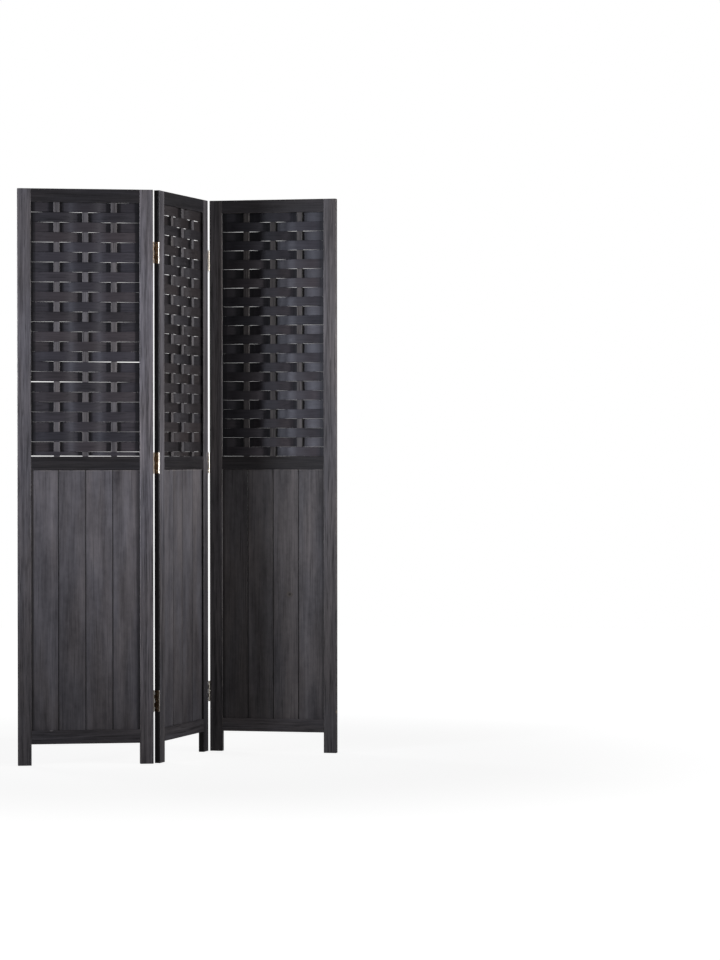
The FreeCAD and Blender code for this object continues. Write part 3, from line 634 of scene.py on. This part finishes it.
# Leaf colours kept dark: painted shade of the joints the leaves sit in
leafLook = {"clean": tone(0.125, 0.093, 0.067), "dull": tone(0.09, 0.067, 0.047),
            "edge": tone(0.84, 0.78, 0.68), "rough": 0.34, "bump": 0.002}
screwLook = dict(leafLook, clean=tone(0.28, 0.23, 0.165), rough=0.3)
pinLook = {"clean": tone(0.62, 0.60, 0.56), "dull": tone(0.36, 0.33, 0.29), "edge": tone(0.62, 0.60, 0.56),
           "rough": 0.32, "bump": 0.08}


def metal(name, side, look, seed):
    material, tree, shader = newMaterial(name)
    local = panelCoords(tree, side)
    tarnish = noise(tree, local, seed, *metalLook["tarnish"])
    brushed = noise(tree, local, seed + 2.0, *metalLook["brush"])
    dull = ease(tree, tarnish, metalLook["dullStart"], metalLook["dullFull"])
    colour = blendColour(tree, dull, look["clean"], look["dull"])
    # Painted highlight: pale along the front of the panels, where the lamps glint on the hinges
    front = ease(tree, split(tree, local)[1], metalLook["glintDeep"], metalLook["glintFront"])
    colour = blendColour(tree, front, colour, look["edge"])
    tree.links.new(colour, shader.inputs["Base Color"])
    rough = calc(tree, "MULTIPLY_ADD", dull, metalLook["roughDull"], look["rough"])
    rough = sway(tree, rough, brushed, metalLook["roughBrush"])
    tree.links.new(rough, shader.inputs["Roughness"])
    relief = {"Height": brushed, "Strength": look["bump"], "Distance": metalLook["relief"]}
    tree.links.new(addNode(tree, "ShaderNodeBump", relief).outputs[0], shader.inputs["Normal"])
    shader.inputs["Metallic"].default_value = 1.0
    return material


# Panels before and after each joint, and the one that holds its pins
joints = {"left_joint": ("left", "middle", "left"), "right_joint": ("middle", "right", "right")}
for order, (joint, (before, after, pinned)) in enumerate(joints.items()):
    hardware = [("left_leaves", before, leafLook, 16.0), ("right_leaves", after, leafLook, 17.0),
                ("left_screws", before, screwLook, 16.0), ("right_screws", after, screwLook, 17.0),
                ("pins", pinned, pinLook, 9.0)]
    for piece, side, look, seed in hardware:
        name = joint + "_" + piece
        dress(name, metal(name, side, look, seed + 9.0 * order))
print("hinges finished")

# Studio: a lamp on each side in front, a weak one between them, one behind, pale floor, white surround
lamps = {
    "left_softbox": {"aim": (-0.15, -0.05, 1.22), "angle": -53.0, "away": 3.0, "wide": 0.9, "tall": 0.7,
                     "power": 5.9, "spread": 49.0, "tint": (0.945, 0.985, 1.07)},
    "right_softbox": {"aim": (0.0, -0.05, 1.28), "angle": 62.0, "away": 3.0, "wide": 0.35, "tall": 0.7,
                      "power": 8.1, "spread": 54.0, "tint": (1.01, 1.0, 0.985)},
    "front_softbox": {"aim": (-0.2, -0.05, 1.25), "angle": 33.0, "away": 3.0, "wide": 0.9, "tall": 1.5,
                      "power": 1.1, "spread": 90.0, "tint": (0.99, 0.995, 1.01)},
    "back_softbox": {"aim": (0.0, 0.0, 1.28), "angle": -146.0, "away": 3.0, "wide": 0.9, "tall": 1.2,
                     "power": 6.0, "spread": 70.0, "tint": (1.0, 1.0, 1.0)},
}


def hangLamp(name, lamp):
    data = bpy.data.lights.new(name, "AREA")
    data.shape = "RECTANGLE"
    data.size = lamp["wide"]
    data.size_y = lamp["tall"]
    data.energy = lamp["power"]
    data.color = lamp["tint"]
    data.spread = math.radians(lamp["spread"])
    softbox = bpy.data.objects.new(name, data)
    bearing = math.radians(lamp["angle"])
    away = Vector((math.sin(bearing), -math.cos(bearing), 0.0))
    softbox.location = Vector(lamp["aim"]) + away * lamp["away"]
    softbox.rotation_euler = away.to_track_quat("Z", "Y").to_euler()
    bpy.context.scene.collection.objects.link(softbox)


def paintSurround(fill):
    # White to the camera, a weak fill to everything else
    world = bpy.data.worlds.new("surround")
    bpy.context.scene.world = world
    world.use_nodes = True
    tree = world.node_tree
    path = addNode(tree, "ShaderNodeLightPath").outputs
    seen = calc(tree, "MAXIMUM", path["Is Camera Ray"], path["Is Transmission Ray"])
    strength = addNode(tree, "ShaderNodeMix", {0: seen, 2: fill, 3: 1.0}).outputs[0]
    tree.links.new(strength, tree.nodes["Background"].inputs["Strength"])
    tree.nodes["Background"].inputs["Color"].default_value = tone(1.0, 1.0, 1.0)


# Floor: a disc just under the feet that glows to the camera and grows white away from them
floorLook = {"reach": 7.0, "sectors": 64, "level": -0.0003, "plain": tone(0.80, 0.80, 0.80),
             "soft": tone(0.34, 0.34, 0.34), "nearFeet": 0.8, "farOff": 2.4, "glowNear": 0.86, "glowFar": 1.0}


def layFloor():
    mesh = bpy.data.meshes.new("floor")
    angles = [2 * math.pi * k / floorLook["sectors"] for k in range(floorLook["sectors"])]
    ring = [(floorLook["reach"] * math.cos(angle), floorLook["reach"] * math.sin(angle), floorLook["level"])
            for angle in angles]
    mesh.from_pydata(ring, [], [list(range(len(ring)))])
    floor = bpy.data.objects.new("floor", mesh)
    bpy.context.scene.collection.objects.link(floor)
    material = bpy.data.materials.new("pale_floor")
    material.use_nodes = True
    tree = material.node_tree
    tree.nodes.clear()
    spot = addNode(tree, "ShaderNodeTexCoord").outputs["Object"]
    far = vectorCalc(tree, "LENGTH", spot)["Value"]
    lift = ease(tree, far, floorLook["nearFeet"], floorLook["farOff"],
                floorLook["glowNear"], floorLook["glowFar"])
    plain = addNode(tree, "ShaderNodeBsdfDiffuse", {"Color": floorLook["plain"]}).outputs[0]
    soft = addNode(tree, "ShaderNodeBsdfDiffuse", {"Color": floorLook["soft"]}).outputs[0]
    glow = addNode(tree, "ShaderNodeEmission", {"Color": tone(1.0, 1.0, 1.0), "Strength": lift}).outputs[0]
    shown = addNode(tree, "ShaderNodeAddShader", {0: soft, 1: glow}).outputs[0]
    camera = addNode(tree, "ShaderNodeLightPath").outputs["Is Camera Ray"]
    mix = addNode(tree, "ShaderNodeMixShader", {0: camera, 1: plain, 2: shown}).outputs[0]
    addNode(tree, "ShaderNodeOutputMaterial", {"Surface": mix})
    mesh.materials.append(material)


# Camera at the photograph's viewpoint
view = {"lens": 114.772, "far": 60.0, "spot": (-0.8687, -9.2431, 0.9161), "yaw": -8.7602, "pitch": -0.4780,
        "roll": -0.0449}


def placeCamera():
    data = bpy.data.cameras.new("viewpoint")
    data.lens = view["lens"]
    data.clip_end = view["far"]
    viewpoint = bpy.data.objects.new("viewpoint", data)
    yaw = Matrix.Rotation(math.radians(view["yaw"]), 4, "Z")
    pitch = Matrix.Rotation(math.radians(90 + view["pitch"]), 4, "X")
    roll = Matrix.Rotation(math.radians(view["roll"]), 4, "Z")
    viewpoint.matrix_world = Matrix.Translation(view["spot"]) @ yaw @ pitch @ roll
    bpy.context.scene.collection.objects.link(viewpoint)
    bpy.context.scene.camera = viewpoint


for name, lamp in lamps.items():
    hangLamp(name, lamp)
paintSurround(fill=0.175)
layFloor()
placeCamera()
bpy.context.scene.view_settings.view_transform = "Standard"
print("studio ready")
